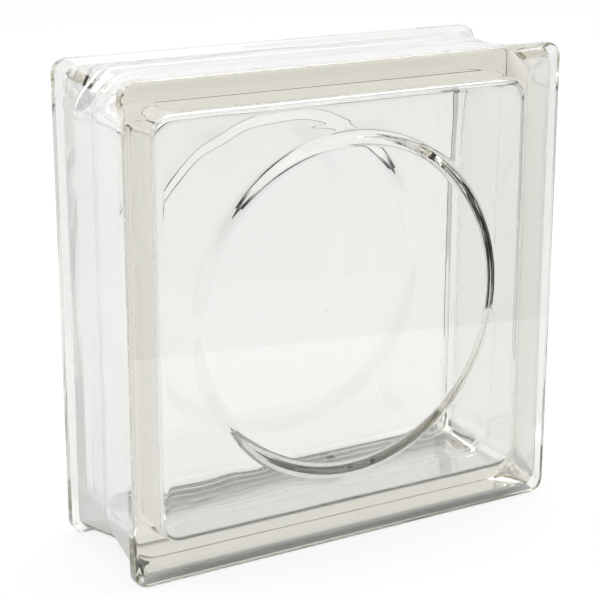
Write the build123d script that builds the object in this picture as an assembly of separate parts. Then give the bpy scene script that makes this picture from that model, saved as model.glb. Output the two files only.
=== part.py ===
# A hollow square glass block: two pressed half shells fused at the middle of the depth
# X runs along the face, Y runs through the depth, Z is up; the block stands on its two rims at Z zero
import os
from math import atan2, degrees
from build123d import *

# Overall size of the block
face_size = 240.0
block_depth = 80.0

# Rim round each face, with the mortar channel between the two rims
rim_band = 6.0
rim_corner_radius = 7.5
rim_edge_radius = 2.0
channel_depth = 3.0
flank_run = 3.0
channel_corner_radius = 8.0
seam_corner_radius = 22.0

# Sealed hollow: thin plates at the two faces, walls that thin out towards the seam
plate_thickness = 8.0
seam_wall = 12.2
wall_draft = 1.5
hollow_cove_radius = 4.5
hollow_corner_ease = 6.5

# Round panel sunk into the inner side of each face plate, with a soft sloping edge
panel_margin = 16.5
panel_slope_run = 7.0
panel_depth = 4.0
panel_lip_radius = 4.0
panel_cove_radius = 4.0

half_depth = block_depth / 2
centre_height = face_size / 2
rim_back = half_depth - rim_band
flank_end = rim_back - flank_run
channel_size = face_size - channel_depth - channel_depth
hollow_seam_size = channel_size - seam_wall - seam_wall
hollow_face_size = hollow_seam_size - wall_draft - wall_draft
hollow_corner_radius = hollow_cove_radius + hollow_corner_ease + wall_draft
plate_inner = half_depth - plate_thickness
draft_angle = degrees(atan2(wall_draft, plate_inner))
panel_floor = plate_inner + panel_depth
panel_mouth_radius = hollow_face_size / 2 - panel_margin
panel_floor_radius = panel_mouth_radius - panel_slope_run


# A plane across the depth, looking at the block from the front
def across(depth):
    return Plane(origin=(0, depth, centre_height), x_dir=(1, 0, 0), z_dir=(0, -1, 0))


# A square with round corners standing at one depth
def rounded_square(depth, size, radius):
    return across(depth) * RectangleRounded(size, size, radius)


# A smooth tapering length of the block between two depths
def taper(start, end):
    return loft([rounded_square(*start), rounded_square(*end)], ruled=True)


# The front rim, its sloping flank and its half of the channel
def half_outside():
    face = rounded_square(-half_depth, face_size, rim_corner_radius)
    rim = extrude(face, amount=-rim_band)
    outer_edges = rim.edges().group_by(Axis.Y)[0]
    rim = fillet(outer_edges, rim_edge_radius)
    rim_end = (-rim_back, face_size, rim_corner_radius)
    foot = (-flank_end, channel_size, channel_corner_radius)
    seam = (0, channel_size, seam_corner_radius)
    return rim + taper(rim_end, foot) + taper(foot, seam)


# The front half of the hollow, drafted from the seam and coved where its plate meets the walls
def half_room():
    seam = rounded_square(0, hollow_seam_size, hollow_corner_radius)
    room = extrude(seam, amount=plate_inner, taper=draft_angle)
    plate_edges = room.edges().group_by(Axis.Y)[0]
    return fillet(plate_edges, hollow_cove_radius)


# The round panel, sloping from a rounded lip down to a coved floor
def sink_panel(room):
    mouth = across(-plate_inner) * Circle(panel_mouth_radius)
    floor = across(-panel_floor) * Circle(panel_floor_radius)
    hollow = room + loft([floor, mouth], ruled=True)
    rings = hollow.edges().filter_by(GeomType.CIRCLE).group_by(Axis.Y)
    hollow = fillet(rings[0], panel_cove_radius)
    rings = hollow.edges().filter_by(lambda edge: edge.is_closed)
    lip = rings.sort_by(lambda edge: abs(edge.center().Y + plate_inner))[0]
    return fillet(lip, panel_lip_radius)


outside = half_outside()
hollow = sink_panel(half_room())
outside = outside + mirror(outside, about=Plane.XZ)
hollow = hollow + mirror(hollow, about=Plane.XZ)
glass_block = outside - hollow
os.makedirs("parts", exist_ok=True)
export_step(glass_block, "parts/glass_block.step")
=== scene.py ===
import bpy
import math
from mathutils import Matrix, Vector


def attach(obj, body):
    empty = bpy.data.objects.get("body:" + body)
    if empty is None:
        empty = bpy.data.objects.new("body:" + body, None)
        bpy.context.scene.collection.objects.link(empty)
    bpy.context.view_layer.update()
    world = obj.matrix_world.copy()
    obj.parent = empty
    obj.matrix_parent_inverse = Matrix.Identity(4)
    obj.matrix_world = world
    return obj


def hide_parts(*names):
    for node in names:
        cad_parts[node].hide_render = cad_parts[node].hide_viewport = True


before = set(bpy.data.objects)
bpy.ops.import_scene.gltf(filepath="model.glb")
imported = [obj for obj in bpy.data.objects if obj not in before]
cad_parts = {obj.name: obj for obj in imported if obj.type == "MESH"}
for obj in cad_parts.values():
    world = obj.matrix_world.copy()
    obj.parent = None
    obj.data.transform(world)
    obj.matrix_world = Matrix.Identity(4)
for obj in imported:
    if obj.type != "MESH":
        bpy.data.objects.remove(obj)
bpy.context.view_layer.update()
mm = 0.001


# one value in a node tree; plain Python sums on it add Math nodes
class Wire:
    def __init__(self, tree, socket):
        self.tree, self.socket = tree, socket

    def sum(self, operation, first, second=None):
        return self.tree.node("ShaderNodeMath", {"operation": operation}, {0: first, 1: second}).out(0)

    def __add__(self, other): return self.sum("ADD", self, other)
    def __radd__(self, other): return self.sum("ADD", other, self)
    def __sub__(self, other): return self.sum("SUBTRACT", self, other)
    def __rsub__(self, other): return self.sum("SUBTRACT", other, self)
    def __mul__(self, other): return self.sum("MULTIPLY", self, other)
    def __rmul__(self, other): return self.sum("MULTIPLY", other, self)
    def __truediv__(self, other): return self.sum("DIVIDE", self, other)
    def __rtruediv__(self, other): return self.sum("DIVIDE", other, self)
    def __pow__(self, other): return self.sum("POWER", self, other)
    def __lt__(self, other): return self.sum("LESS_THAN", self, other)
    def __abs__(self): return self.sum("ABSOLUTE", self)
    def floor(self): return self.sum("FLOOR", self)
    def sign(self): return self.sum("SIGN", self)
    def sin(self): return self.sum("SINE", self)
    def cos(self): return self.sum("COSINE", self)
    def tan(self): return self.sum("TANGENT", self)
    def root(self): return self.sum("SQRT", self.sum("MAXIMUM", self, 0.0))
    def most(self, other): return self.sum("MAXIMUM", self, other)
    def least(self, other): return self.sum("MINIMUM", self, other)
    def arcSine(self): return self.sum("ARCSINE", self)
    def arcTangent(self, other): return self.sum("ARCTAN2", self, other)


# one placed node; out() picks a result by name or number
class Placed:
    def __init__(self, tree, node):
        self.tree, self.made = tree, node

    def out(self, which=0):
        return Wire(self.tree, self.made.outputs[which])


# a node tree that places nodes by type, settings and socket values
class Tree:
    def __init__(self, nodeTree):
        self.made = nodeTree

    def node(self, kind, settings=None, sockets=None):
        node = self.made.nodes.new(kind)
        for name, value in (settings or {}).items():
            setattr(node, name, value)
        for which, value in (sockets or {}).items():
            if isinstance(value, Wire):
                self.made.links.new(value.socket, node.inputs[which])
            elif value is not None:
                node.inputs[which].default_value = value
        return Placed(self, node)

    # 0 at low, 1 at high, with soft ends
    def eased(self, value, low, high):
        return self.node("ShaderNodeMapRange", {"interpolation_type": "SMOOTHSTEP"},
                         {"Value": value, "From Min": low, "From Max": high}).out("Result")

    def socket(self, name, kind, direction, start=None):
        made = self.made.interface.new_socket(name=name, in_out=direction, socket_type=kind)
        if start is not None:
            made.default_value = start
        return made.identifier


# sizes of the block in millimetres: those of the part, and its fine relief
block = {
    "face": 240.0, "depth": 80.0,
    "rimBand": 6.0, "rimCorner": 7.5, "rimEdge": 2.0, "rimBackEdge": 0.7,
    "channel": 3.0, "flank": 3.0, "flankFoot": 1.6, "channelCorner": 8.0, "seamCorner": 22.0,
    "plate": 8.0, "seamWall": 12.2, "draft": 1.5, "cove": 4.5, "cornerEase": 6.5,
    "panelMargin": 16.5, "panelRun": 7.0, "panelDepth": 4.0, "lip": 4.0, "panelCove": 4.0,
    "turnMark": 0.010, "turnPitch": 1.5,                      # faint rings left by the turned mould
    "seamBead": 0.35, "seamWidth": 1.6, "seamUneven": 0.12,   # the fused line, outside and in
    "sway": 0.90, "swayLength": 40.0,                         # slow unevenness of the pressed corners
    "angleSteps": 288, "crowding": 2.0,
    # half width and corner radius of the lines across the flat face
    "faceLines": ((0, 0), (30, 30), (60, 60), (86, 86), (98, 70), (107, 40), (113, 16), (117, 5.0), (117.8, 5.3)),
    "seamSteps": (1.3, 1.0, 0.8, 0.6, 0.4, 0.2, 0.0),
}


# one line of the profile: half width, depth, corner radius, sway, seam unevenness, share of film
def station(half, depth, corner, sway=0.0, seam=0.0, film=0.0):
    return (half, depth, corner, sway, seam, film)


def arcSteps(start, end, steps):
    return [math.radians(start + (end - start) * i / steps) for i in range(steps + 1)]


def outsideHalf(b):
    half, front = b["face"] / 2, -b["depth"] / 2
    edge, corner = b["rimEdge"], b["rimCorner"]
    rows = [station(a, front, r) for a, r in b["faceLines"]]
    for turn in arcSteps(0, 90, 8):
        out = edge * math.sin(turn)
        rows.append(station(half - edge + out, front + edge * (1 - math.cos(turn)), corner - edge + out))
    rimBack = front + b["rimBand"]
    foot = rimBack + b["flank"]
    low = half - b["channel"]
    back = b["rimBackEdge"] * math.tan(math.radians(22.5))
    rows.append(station(half, front + edge + 0.3, corner))
    rows.append(station(half, rimBack - back - 0.3, corner))
    for turn in arcSteps(0, 45, 4):   # rounded back edge of the rim
        rows.append(station(half - b["rimBackEdge"] * (1 - math.cos(turn)),
                            rimBack - back + b["rimBackEdge"] * math.sin(turn), corner))
    for share in (0.3, 0.5, 0.7):
        rows.append(station(half - b["channel"] * share, rimBack + b["flank"] * share, corner + 0.5 * share, film=0.2))
    tangent = b["flankFoot"] * math.tan(math.radians(22.5))
    for turn in arcSteps(45, 0, 5):   # hollow foot of the flank, where the film sets in
        rows.append(station(low + b["flankFoot"] * (1 - math.cos(turn)),
                            foot + tangent - b["flankFoot"] * math.sin(turn), b["channelCorner"], film=1.0 - turn))
    run = -(foot + tangent)
    for share in (0.02, 0.15, 0.3, 0.45, 0.6, 0.75, 0.88):
        corner = b["channelCorner"] + (b["seamCorner"] - b["channelCorner"]) * share
        rows.append(station(low, -run * (1 - share), corner, film=1.0))
    for away in b["seamSteps"]:   # raised line where the halves are fused
        swell = 0.5 + 0.5 * math.cos(math.pi * min(away, 1.0))
        rows.append(station(low + b["seamBead"] * swell, -b["seamWidth"] * away, b["seamCorner"],
                            seam=b["seamUneven"] * swell, film=1.0))
    return rows


def insideHalf(b):
    seamHalf = b["face"] / 2 - b["channel"] - b["seamWall"]
    faceHalf = seamHalf - b["draft"]
    plate = -b["depth"] / 2 + b["plate"]
    floor = plate - b["panelDepth"]
    mouthR = faceHalf - b["panelMargin"]
    floorR = mouthR - b["panelRun"]
    slope = math.degrees(math.atan2(b["panelDepth"], b["panelRun"]))
    coveStart = floorR - b["panelCove"] * math.tan(math.radians(slope / 2))
    lipEnd = mouthR + b["lip"] * math.tan(math.radians(slope / 2))
    rows = [station(r, floor, r) for r in (0, 25, 50, 68, 76, coveStart - 0.5)]
    for i in range(41):   # S-curved slope round the panel, with faint turning marks
        share = i / 40
        r = coveStart + (lipEnd - coveStart) * share
        swell = math.sin(math.pi * share)
        mark = b["turnMark"] * swell * math.sin(2 * math.pi * (r - coveStart) / b["turnPitch"])
        rows.append(station(r, floor + b["panelDepth"] * (0.5 - 0.5 * math.cos(math.pi * share)) + mark, r))
    flatHalf, flatCorner = faceHalf - b["cove"], b["cornerEase"]
    for i in range(1, 21):   # corner fields between the round panel and the coves
        share = i / 21
        rows.append(station(lipEnd + (flatHalf - lipEnd) * share, plate, lipEnd + (flatCorner - lipEnd) * share,
                            sway=b["sway"] * min(1.0, share * 4)))
    for turn in arcSteps(0, 90, 10):
        out = b["cove"] * math.sin(turn)
        rows.append(station(flatHalf + out, plate + b["cove"] * (1 - math.cos(turn)), flatCorner + out,
                            sway=b["sway"] * (1 - 0.8 * math.sin(turn))))
    wallTop = plate + b["cove"]
    for share in (0.03, 0.2, 0.4, 0.6, 0.8):
        rows.append(station(faceHalf + b["draft"] * share, wallTop * (1 - share),
                            flatCorner + b["cove"] + b["draft"] * share))
    for away in b["seamSteps"]:
        swell = 0.5 + 0.5 * math.cos(math.pi * min(away, 1.0))
        rows.append(station(seamHalf - 0.15 * b["seamBead"] * swell, -b["seamWidth"] * away,
                            flatCorner + b["cove"] + b["draft"], seam=0.3 * b["seamUneven"] * swell))
    return rows


def bothHalves(rows):
    return rows + [(r[0], -r[1]) + r[2:] for r in reversed(rows[:-1])]


# the profile as a string of points: x holds the half width, y the depth, z the corner radius
def profileObject(b):
    outside, inside = bothHalves(outsideHalf(b)), bothHalves(insideHalf(b))
    rows = outside + inside
    mesh = bpy.data.meshes.new("blockProfile")
    mesh.from_pydata([Vector(r[:3]) * mm for r in rows], [], [])
    for place, name in ((3, "sway"), (4, "seam")):
        mesh.attributes.new(name, "FLOAT", "POINT").data.foreach_set("value", [r[place] * mm for r in rows])
    mesh.attributes.new("film", "FLOAT", "POINT").data.foreach_set("value", [r[5] for r in rows])
    isInside = [i >= len(outside) for i in range(len(rows))]
    mesh.attributes.new("inside", "BOOLEAN", "POINT").data.foreach_set("value", isInside)
    piece = bpy.data.objects.new("glassBlock", mesh)
    bpy.context.collection.objects.link(piece)
    print("profile has", len(outside), "outside and", len(inside), "inside stations")
    return piece


seamScale = 320.0   # how quickly the fused line wanders, per metre


# a skin that carries every station round the block as a square with round corners
def skinTree():
    tree = Tree(bpy.data.node_groups.new("roundedSquareSkin", "GeometryNodeTree"))
    tree.socket("Profile", "NodeSocketGeometry", "INPUT")
    tree.socket("Angle steps", "NodeSocketInt", "INPUT", 288)
    tree.socket("Crowding", "NodeSocketFloat", "INPUT", 2.0)
    tree.socket("Centre height", "NodeSocketFloat", "INPUT", 0.12)
    tree.socket("Sway length", "NodeSocketFloat", "INPUT", 0.026)
    tree.socket("Inside out", "NodeSocketBool", "INPUT", False)
    tree.socket("Skin", "NodeSocketGeometry", "OUTPUT")
    given = tree.node("NodeGroupInput")
    profile, steps = given.out("Profile"), given.out("Angle steps")
    count = tree.node("GeometryNodeAttributeDomainSize", {"component": "MESH"}, {"Geometry": profile}).out("Point Count")
    columns = steps + 1
    grid = tree.node("GeometryNodeMeshGrid", None,
                     {"Vertices X": count, "Vertices Y": columns, "Size X": 1.0, "Size Y": 1.0})
    index = tree.node("GeometryNodeInputIndex").out()
    row = ((index + 0.5) / columns).floor()
    column = index - row * columns

    def read(kind, value):
        return tree.node("GeometryNodeSampleIndex", {"data_type": kind, "domain": "POINT"},
                         {"Geometry": profile, "Value": value, "Index": row}).out("Value")

    def named(name):
        attribute = tree.node("GeometryNodeInputNamedAttribute", {"data_type": "FLOAT"}, {"Name": name})
        return read("FLOAT", attribute.out("Attribute"))

    point = read("FLOAT_VECTOR", tree.node("GeometryNodeInputPosition").out())
    place = tree.node("ShaderNodeSeparateXYZ", None, {0: point})
    half, depth, corner = place.out("X"), place.out("Y"), place.out("Z")
    around = column / steps * 4.0
    quarter = around.floor()
    lean = (around - quarter) * 2.0 - 1.0
    bend = lean.sign() * abs(lean) ** given.out("Crowding") * (math.pi / 4)   # steps crowd together at the corners
    angle = (quarter + 0.5) * (math.pi / 2) + bend
    fold = math.pi / 4 - abs(bend)
    c, s, k = fold.cos(), fold.sin(), half - corner
    straight = half / c
    rounded = k * (c + s) + (k * k * (c + s) ** 2.0 - 2.0 * k * k + corner * corner).root()
    reach = rounded + (fold.tan() * half < k) * (straight - rounded)
    height = given.out("Centre height")

    def standing(reach, depth):
        return tree.node("ShaderNodeCombineXYZ", None, {
            "X": reach * angle.cos(), "Y": depth, "Z": height + reach * angle.sin()}).out()

    def uneven(scale, detail):
        return tree.node("ShaderNodeTexNoise", {"noise_dimensions": "3D"},
                         {"Vector": standing(reach, depth), "Scale": scale, "Detail": detail}).out("Fac") - 0.5

    swayed = depth + named("sway") * 2.0 * uneven(1.0 / given.out("Sway length"), 1.0)
    beaded = reach + named("seam") * 2.0 * uneven(seamScale, 2.0)
    moved = tree.node("GeometryNodeSetPosition", None,
                      {"Geometry": grid.out("Mesh"), "Position": standing(beaded, swayed)})
    marked = tree.node("GeometryNodeStoreNamedAttribute", {"data_type": "FLOAT", "domain": "POINT"},
                       {"Geometry": moved.out(), "Name": "film", "Value": named("film")})
    turned = tree.node("GeometryNodeFlipFaces", None, {"Mesh": marked.out()})
    chosen = tree.node("GeometryNodeSwitch", {"input_type": "GEOMETRY"},
                       {"Switch": given.out("Inside out"), "False": marked.out(), "True": turned.out()})
    tree.node("NodeGroupOutput", None, {"Skin": chosen.out()})
    return tree.made


# small air seeds trapped in the two plates
seeds = {"count": 34, "small": 0.12, "large": 0.34, "reach": 96.0, "within": 1.4, "under": 2.2,
         "frontLean": 0.35, "seed": 7}


def blockTree(skin):
    tree = Tree(bpy.data.node_groups.new("glassBlockMaker", "GeometryNodeTree"))
    keys = {}
    tree.socket("Profile", "NodeSocketGeometry", "INPUT")
    for name, kind, start in (("Angle steps", "NodeSocketInt", 288), ("Crowding", "NodeSocketFloat", 2.0),
                              ("Centre height", "NodeSocketFloat", 0.12), ("Sway length", "NodeSocketFloat", 0.026),
                              ("Seed count", "NodeSocketInt", 20), ("Seed small", "NodeSocketFloat", 0.0001),
                              ("Seed large", "NodeSocketFloat", 0.0003), ("Seed reach", "NodeSocketFloat", 0.09),
                              ("Seed depth", "NodeSocketFloat", 0.0385), ("Seed within", "NodeSocketFloat", 0.001),
                              ("Seed number", "NodeSocketInt", 1), ("Glass", "NodeSocketMaterial", None)):
        keys[name] = tree.socket(name, kind, "INPUT", start)
    tree.socket("Block", "NodeSocketGeometry", "OUTPUT")
    given = tree.node("NodeGroupInput")
    isInside = tree.node("GeometryNodeInputNamedAttribute", {"data_type": "BOOLEAN"}, {"Name": "inside"}).out("Attribute")
    split = tree.node("GeometryNodeSeparateGeometry", {"domain": "POINT"},
                      {"Geometry": given.out("Profile"), "Selection": isInside})
    shared = {name: given.out(name) for name in ("Angle steps", "Crowding", "Centre height", "Sway length")}
    skins = [tree.node("GeometryNodeGroup", {"node_tree": skin},
                       {"Profile": split.out(which), "Inside out": which == 0, **shared}) for which in (1, 0)]
    # seeds: points strewn over both plates, each a tiny ball of air
    strewn = tree.node("GeometryNodePoints", None, {"Count": given.out("Seed count")})

    def chance(lowest, highest, number):
        return tree.node("FunctionNodeRandomValue", {"data_type": "FLOAT"},
                         {2: lowest, 3: highest, "Seed": given.out("Seed number") + number}).out(1)

    side = (chance(-1.0, 1.0, 1) + seeds["frontLean"]).sign() * -1.0
    reach, deep = given.out("Seed reach"), given.out("Seed depth")
    spot = tree.node("ShaderNodeCombineXYZ", None, {
        "X": chance(-1.0, 1.0, 2) * reach,
        "Y": side * (deep + chance(-0.5, 0.5, 3) * given.out("Seed within")),
        "Z": given.out("Centre height") + chance(-1.0, 1.0, 4) * reach})
    placed = tree.node("GeometryNodeSetPosition", None, {"Geometry": strewn.out(), "Position": spot.out()})
    ball = tree.node("GeometryNodeMeshIcoSphere", None, {"Radius": 1.0, "Subdivisions": 2})
    hollowBall = tree.node("GeometryNodeFlipFaces", None, {"Mesh": ball.out("Mesh")})
    size = given.out("Seed small") + (given.out("Seed large") - given.out("Seed small")) * chance(0.0, 1.0, 5) ** 3.0
    bubbles = tree.node("GeometryNodeInstanceOnPoints", None,
                        {"Points": placed.out(), "Instance": hollowBall.out(), "Scale": size})
    joined = tree.node("GeometryNodeJoinGeometry")
    for part in (skins[0].out(), skins[1].out()):
        tree.made.links.new(part.socket, joined.made.inputs[0])
    merged = tree.node("GeometryNodeMergeByDistance", None, {"Geometry": joined.out(), "Distance": 1e-6})
    together = tree.node("GeometryNodeJoinGeometry")
    real = tree.node("GeometryNodeRealizeInstances", None, {"Geometry": bubbles.out()})
    for part in (merged.out(), real.out()):
        tree.made.links.new(part.socket, together.made.inputs[0])
    smooth = tree.node("GeometryNodeSetShadeSmooth", {"domain": "FACE"}, {"Geometry": together.out()})
    whole = tree.node("GeometryNodeRealizeInstances", None, {"Geometry": smooth.out()})
    dressed = tree.node("GeometryNodeSetMaterial", None, {"Geometry": whole.out(), "Material": given.out("Glass")})
    tree.node("NodeGroupOutput", None, {"Block": dressed.out()})
    return tree.made, keys


# clear pressed glass with a faint warm tint in its depth
glass = {
    "tint": (0.71, 0.69, 0.56), "density": 10.0, "ior": 1.52,
    "ripple": 0.010, "rippleSize": 34.0,
    "hazeSize": 60.0, "hazeColour": (0.985, 0.985, 0.975), "hazeFrom": 0.55, "hazeRough": 0.03,
}
# milky film on the mortar channel: it misses the corner lines, and underneath by the flanks its colour is darkened to a
# grey-green painted shade
film = {
    "colour": (0.97, 0.97, 0.985), "patchy": (0.93, 0.93, 0.96), "patchSize": 18.0, "paintedShade": (0.40, 0.46, 0.43),
    "cover": 0.60, "underEdge": 0.88, "underMiddle": 0.18, "underGain": 4.0, "through": 0.50, "rough": 0.42,
    "grain": 0.9, "grainHeight": 0.05,
    "cornerFrom": 3.0, "cornerTo": 4.6, "ragged": 1.2, "raggedSize": 5.0,
    "underFrom": 9.0, "underTo": 4.0, "flankFrom": 20.0, "flankTo": 27.0,
}


def glassMaterial(b):
    material = bpy.data.materials.new("pressedGlass")
    material.use_nodes = True
    tree = Tree(material.node_tree)
    tree.made.nodes.clear()
    where = tree.node("ShaderNodeTexCoord").out("Object")

    def noise(size, detail, rough=0.5):
        return tree.node("ShaderNodeTexNoise", {"noise_dimensions": "3D"},
                         {"Vector": where, "Scale": 1000.0 / size, "Detail": detail, "Roughness": rough}).out("Fac")

    def blended(share, first, second):
        first, second = [c if isinstance(c, Wire) else (*c, 1) for c in (first, second)]
        return tree.node("ShaderNodeMix", {"data_type": "RGBA"}, {"Factor": share, 6: first, 7: second}).out(2)

    def bumped(size, detail, tall):
        return tree.node("ShaderNodeBump", None, {"Strength": 1.0, "Distance": 1.0,
                                                  "Height": noise(size, detail) * (tall * mm)}).out("Normal")

    haze = noise(glass["hazeSize"], 3.0, 0.6)
    clear = tree.node("ShaderNodeBsdfPrincipled", None, {
        "Base Color": blended(haze, glass["hazeColour"], (1.0, 1.0, 1.0)),
        "Roughness": (haze - glass["hazeFrom"]).most(0.0) * glass["hazeRough"],
        "IOR": glass["ior"], "Transmission Weight": 1.0, "Normal": bumped(glass["rippleSize"], 1.0, glass["ripple"])})
    # the film: white seen from outside, and lit through seen from inside
    place = tree.node("ShaderNodeSeparateXYZ", None, {0: where})
    under = tree.eased(place.out("Z"), film["underFrom"] * mm, film["underTo"] * mm)
    byFlank = tree.eased(abs(place.out("Y")), film["flankFrom"] * mm, film["flankTo"] * mm)
    white = blended(noise(film["patchSize"], 4.0, 0.6), film["patchy"], film["colour"])
    # painted shade: underneath by the flanks the film's colour turns dark grey-green, where the bottom faces the floor
    outer = tree.node("ShaderNodeBsdfPrincipled", None, {
        "Base Color": blended(under * byFlank, white, film["paintedShade"]), "Roughness": film["rough"],
        "Normal": bumped(film["grain"], 2.0, film["grainHeight"])})
    inner = tree.node("ShaderNodeBsdfTranslucent", None, {"Color": (*film["colour"], 1)})
    milk = tree.node("ShaderNodeMixShader", None, {0: film["through"], 1: outer.out("BSDF"), 2: inner.out()})
    # how much of it covers: less at the corner lines, more or less underneath
    offCorner = abs(abs(place.out("X")) - abs(place.out("Z") - b["face"] / 2 * mm))
    ragged = (noise(film["raggedSize"], 3.0) - 0.5) * (film["ragged"] * mm)
    pastCorner = tree.eased(offCorner + ragged, film["cornerFrom"] * mm, film["cornerTo"] * mm)
    share = tree.node("ShaderNodeAttribute", {"attribute_name": "film"}).out("Fac")
    # underneath the film covers more, so the painted shade there shows strongly
    share = (share * (under * film["underGain"] + 1.0)).least(1.0)
    underneath = byFlank * (film["underEdge"] - film["underMiddle"]) + film["underMiddle"]
    cover = share * (under * (underneath - film["cover"]) + film["cover"]) * pastCorner
    both = tree.node("ShaderNodeMixShader", None, {0: cover, 1: clear.out("BSDF"), 2: milk.out()})
    depth = tree.node("ShaderNodeVolumeAbsorption", None, {"Color": (*glass["tint"], 1), "Density": glass["density"]})
    tree.node("ShaderNodeOutputMaterial", None, {"Surface": both.out(), "Volume": depth.out()})
    return material


def makeBlock(b):
    piece = profileObject(b)
    tree, keys = blockTree(skinTree())
    modifier = piece.modifiers.new("shape", "NODES")
    modifier.node_group = tree
    values = {"Angle steps": b["angleSteps"], "Crowding": b["crowding"], "Centre height": b["face"] / 2 * mm,
              "Sway length": b["swayLength"] * mm, "Seed count": seeds["count"], "Seed small": seeds["small"] * mm,
              "Seed large": seeds["large"] * mm, "Seed reach": seeds["reach"] * mm, "Seed within": seeds["within"] * mm,
              "Seed depth": (b["depth"] / 2 - seeds["under"]) * mm, "Seed number": seeds["seed"],
              "Glass": glassMaterial(b)}
    for name, value in values.items():
        modifier[keys[name]] = value
    seen = piece.evaluated_get(bpy.context.evaluated_depsgraph_get())
    shaped = bpy.data.meshes.new_from_object(seen)
    piece.modifiers.clear()
    piece.data = shaped
    print("block has", len(shaped.polygons), "faces")
    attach(piece, "root")
    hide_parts("glass_block")
    return piece


makeBlock(block)

# stage: a white table top that ends in front and at the left
stage = {"left": -0.44, "right": 4.0, "near": -0.345, "far": 4.0, "turn": 12.0, "paper": 0.74,
         "seenGlow": 0.81, "glassGlow": 0.85, "throughGlow": 0.90,
         "footHalf": (0.120, 0.040), "footIn": 0.012, "footOut": 0.022, "footSoft": (0.35, 0.65)}


def makeTable():
    left, right, near, far = stage["left"], stage["right"], stage["near"], stage["far"]
    turn = math.radians(stage["turn"])
    corners = [(left, near), (right, near), (right, far), (left, far)]
    mesh = bpy.data.meshes.new("tableTop")
    mesh.from_pydata([(x * math.cos(turn) - y * math.sin(turn), x * math.sin(turn) + y * math.cos(turn), 0.0)
                      for x, y in corners], [], [(0, 1, 2, 3)])
    table = bpy.data.objects.new("tableTop", mesh)
    bpy.context.collection.objects.link(table)
    material = bpy.data.materials.new("whitePaper")
    material.use_nodes = True
    tree = Tree(material.node_tree)
    tree.made.nodes.clear()
    ray = tree.node("ShaderNodeLightPath")
    paper = tree.node("ShaderNodeBsdfDiffuse", None, {"Color": (stage["paper"],) * 3 + (1,)})
    isCamera = ray.out("Is Camera Ray")
    glow = tree.node("ShaderNodeEmission", None, {
        "Color": (1, 1, 1, 1), "Strength": isCamera * (1 - stage["throughGlow"]) + stage["throughGlow"]})
    behind = ray.out("Is Glossy Ray").most(ray.out("Is Transmission Ray"))
    # along the foot of the block the glow gives way to the real shade
    spot = tree.node("ShaderNodeSeparateXYZ", None, {0: tree.node("ShaderNodeTexCoord").out("Object")})
    past = (abs(spot.out("X")) - stage["footHalf"][0]).most(abs(spot.out("Y")) - stage["footHalf"][1])
    wide = stage["footOut"] + stage["footIn"]
    low, high = [wide * soft for soft in stage["footSoft"]]
    clear = tree.eased(abs(past - (stage["footOut"] - stage["footIn"]) / 2), low, high)
    share = (isCamera * stage["seenGlow"]).most(behind * stage["glassGlow"] * clear)
    mixed = tree.node("ShaderNodeMixShader", None, {0: share, 1: paper.out(), 2: glow.out()})
    tree.node("ShaderNodeOutputMaterial", None, {"Surface": mixed.out()})
    mesh.materials.append(material)


makeTable()
print("table laid")

# a dark card at the right, for the dark lines in the glass; the camera itself doesn't see it
card = {"from": (0.314, 0.102), "to": (0.319, -0.085), "height": 0.24, "shade": 0.02}


def makeCard():
    (x0, y0), (x1, y1), top = card["from"], card["to"], card["height"]
    mesh = bpy.data.meshes.new("darkCard")
    mesh.from_pydata([(x0, y0, 0), (x1, y1, 0), (x1, y1, top), (x0, y0, top)], [], [(0, 1, 2, 3)])
    board = bpy.data.objects.new("darkCard", mesh)
    bpy.context.collection.objects.link(board)
    board.visible_camera = board.visible_diffuse = board.visible_shadow = False
    material = bpy.data.materials.new("blackFelt")
    material.use_nodes = True
    tree = Tree(material.node_tree)
    tree.made.nodes.clear()
    felt = tree.node("ShaderNodeBsdfDiffuse", None, {"Color": (card["shade"],) * 3 + (1,)})
    tree.node("ShaderNodeOutputMaterial", None, {"Surface": felt.out()})
    mesh.materials.append(material)


makeCard()
print("card stood")

# studio: white behind, a dim room at the camera's side, a dark screen low at the right
# bearings run from +X towards +Y, in degrees like the heights
studio = {
    "bright": 1.0, "soft": 0.75,   # what glass shows, and what lights matt surfaces
    "dim": 0.02, "dimBearing": 235.0, "dimHalf": 86.0, "dimSoft": 14.0,
    "screen": 0.02, "screenBearing": 18.0, "screenHalf": 27.0, "screenSoft": 2.0,
    "screenFrom": 6.0, "screenTo": 46.0, "screenLowSoft": 1.0, "screenHighSoft": 2.0,
    # past the table's edge: a dark room where mirrored, a pale one through the glass
    "below": 0.05, "belowThrough": 0.66, "paleFrom": -5.0, "paleTo": -9.0, "horizon": (0.5, -1.5),
}


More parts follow.
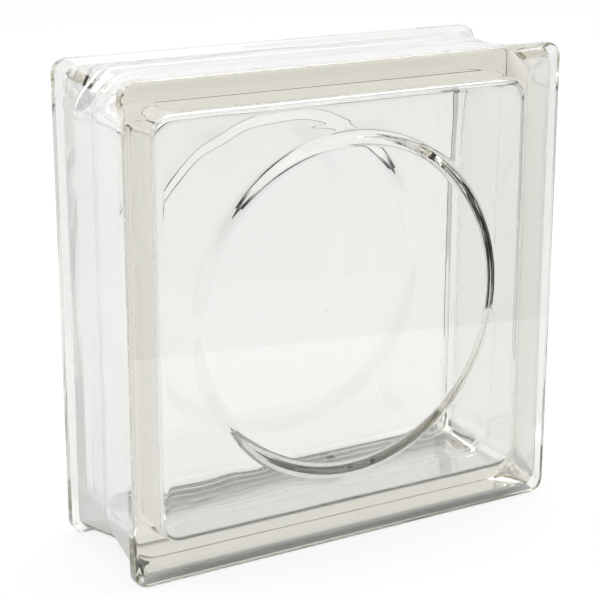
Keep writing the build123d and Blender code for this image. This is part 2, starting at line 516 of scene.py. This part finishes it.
def makeStudio():
    world = bpy.data.worlds.new("studio")
    bpy.context.scene.world = world
    world.use_nodes = True
    tree = Tree(world.node_tree)
    tree.made.nodes.clear()
    toward = tree.node("ShaderNodeSeparateXYZ", None, {0: tree.node("ShaderNodeTexCoord").out("Generated")})
    bearing = toward.out("Y").arcTangent(toward.out("X")) * (180 / math.pi)
    height = toward.out("Z").arcSine() * (180 / math.pi)

    def zone(name):
        centre, half, soft = [studio[name + part] for part in ("Bearing", "Half", "Soft")]
        turned = tree.node("ShaderNodeMath", {"operation": "WRAP"}, {0: bearing - centre, 1: 180.0, 2: -180.0}).out()
        return tree.eased(abs(turned), half + soft, half - soft)

    level = zone("dim") * (studio["dim"] - studio["bright"]) + studio["bright"]
    low, high = studio["screenLowSoft"], studio["screenHighSoft"]
    band = tree.eased(height, studio["screenFrom"] - low, studio["screenFrom"] + low)
    band = band * tree.eased(height, studio["screenTo"] + high, studio["screenTo"] - high)
    level = level + (studio["screen"] - level) * zone("screen") * band
    rays = tree.node("ShaderNodeLightPath")
    pale = rays.out("Is Transmission Ray") * tree.eased(height, studio["paleFrom"], studio["paleTo"])
    below = pale * (studio["belowThrough"] - studio["below"]) + studio["below"]
    level = level + (below - level) * tree.eased(height, *studio["horizon"])
    isCamera, isDiffuse = rays.out("Is Camera Ray"), rays.out("Is Diffuse Ray")
    seen = isCamera + (1 - isCamera) * level
    light = tree.node("ShaderNodeBackground", None, {
        "Color": (1, 1, 1, 1), "Strength": seen + isDiffuse * (studio["soft"] - seen)})
    tree.node("ShaderNodeOutputWorld", None, {"Surface": light.out()})


makeStudio()
print("studio set")

# lamps: a large soft one overhead, and one at each side that the glass doesn't mirror
lamps = {
    "over": {"at": (0.4, 0.7, 2.4), "aim": (0.2, 0.3, 0.0), "size": (2.4, 2.4), "power": 40.0, "mirrored": True},
    "left": {"at": (-1.6, 0.2, 0.8), "aim": (0.0, 0.0, 0.12), "size": (1.4, 1.2), "power": 22.0, "mirrored": False},
    "right": {"at": (1.6, -0.2, 0.8), "aim": (0.0, 0.0, 0.12), "size": (1.4, 1.2), "power": 24.0, "mirrored": False},
}


def makeLamps():
    for name, lamp in lamps.items():
        data = bpy.data.lights.new(name, "AREA")
        data.shape = "RECTANGLE"
        data.size, data.size_y = lamp["size"]
        data.energy = lamp["power"]
        light = bpy.data.objects.new(name, data)
        bpy.context.collection.objects.link(light)
        light.location = lamp["at"]
        light.visible_glossy = light.visible_transmission = lamp["mirrored"]
        light.rotation_euler = (Vector(lamp["aim"]) - Vector(lamp["at"])).to_track_quat("-Z", "Y").to_euler()


makeLamps()
print("lamps hung:", ", ".join(lamps))

# camera: the photograph's place and lens
view = {"at": (-0.4320, -0.7211, 0.3665), "yaw": 30.5, "pitch": 16.71, "lens": 104.85}


def makeCamera():
    data = bpy.data.cameras.new("camera")
    data.sensor_width = 36.0
    data.lens = view["lens"]
    camera = bpy.data.objects.new("camera", data)
    bpy.context.collection.objects.link(camera)
    yaw, pitch = math.radians(view["yaw"]), math.radians(view["pitch"])
    ahead = Vector((math.sin(yaw) * math.cos(pitch), math.cos(yaw) * math.cos(pitch), -math.sin(pitch)))
    camera.location = view["at"]
    camera.rotation_euler = ahead.to_track_quat("-Z", "Y").to_euler()
    bpy.context.scene.camera = camera


makeCamera()
print("camera placed")

bounces = 40   # light passes many glass faces
scene = bpy.context.scene
scene.view_settings.view_transform = "Standard"
scene.cycles.max_bounces = bounces
scene.cycles.transmission_bounces = bounces
scene.cycles.glossy_bounces = bounces
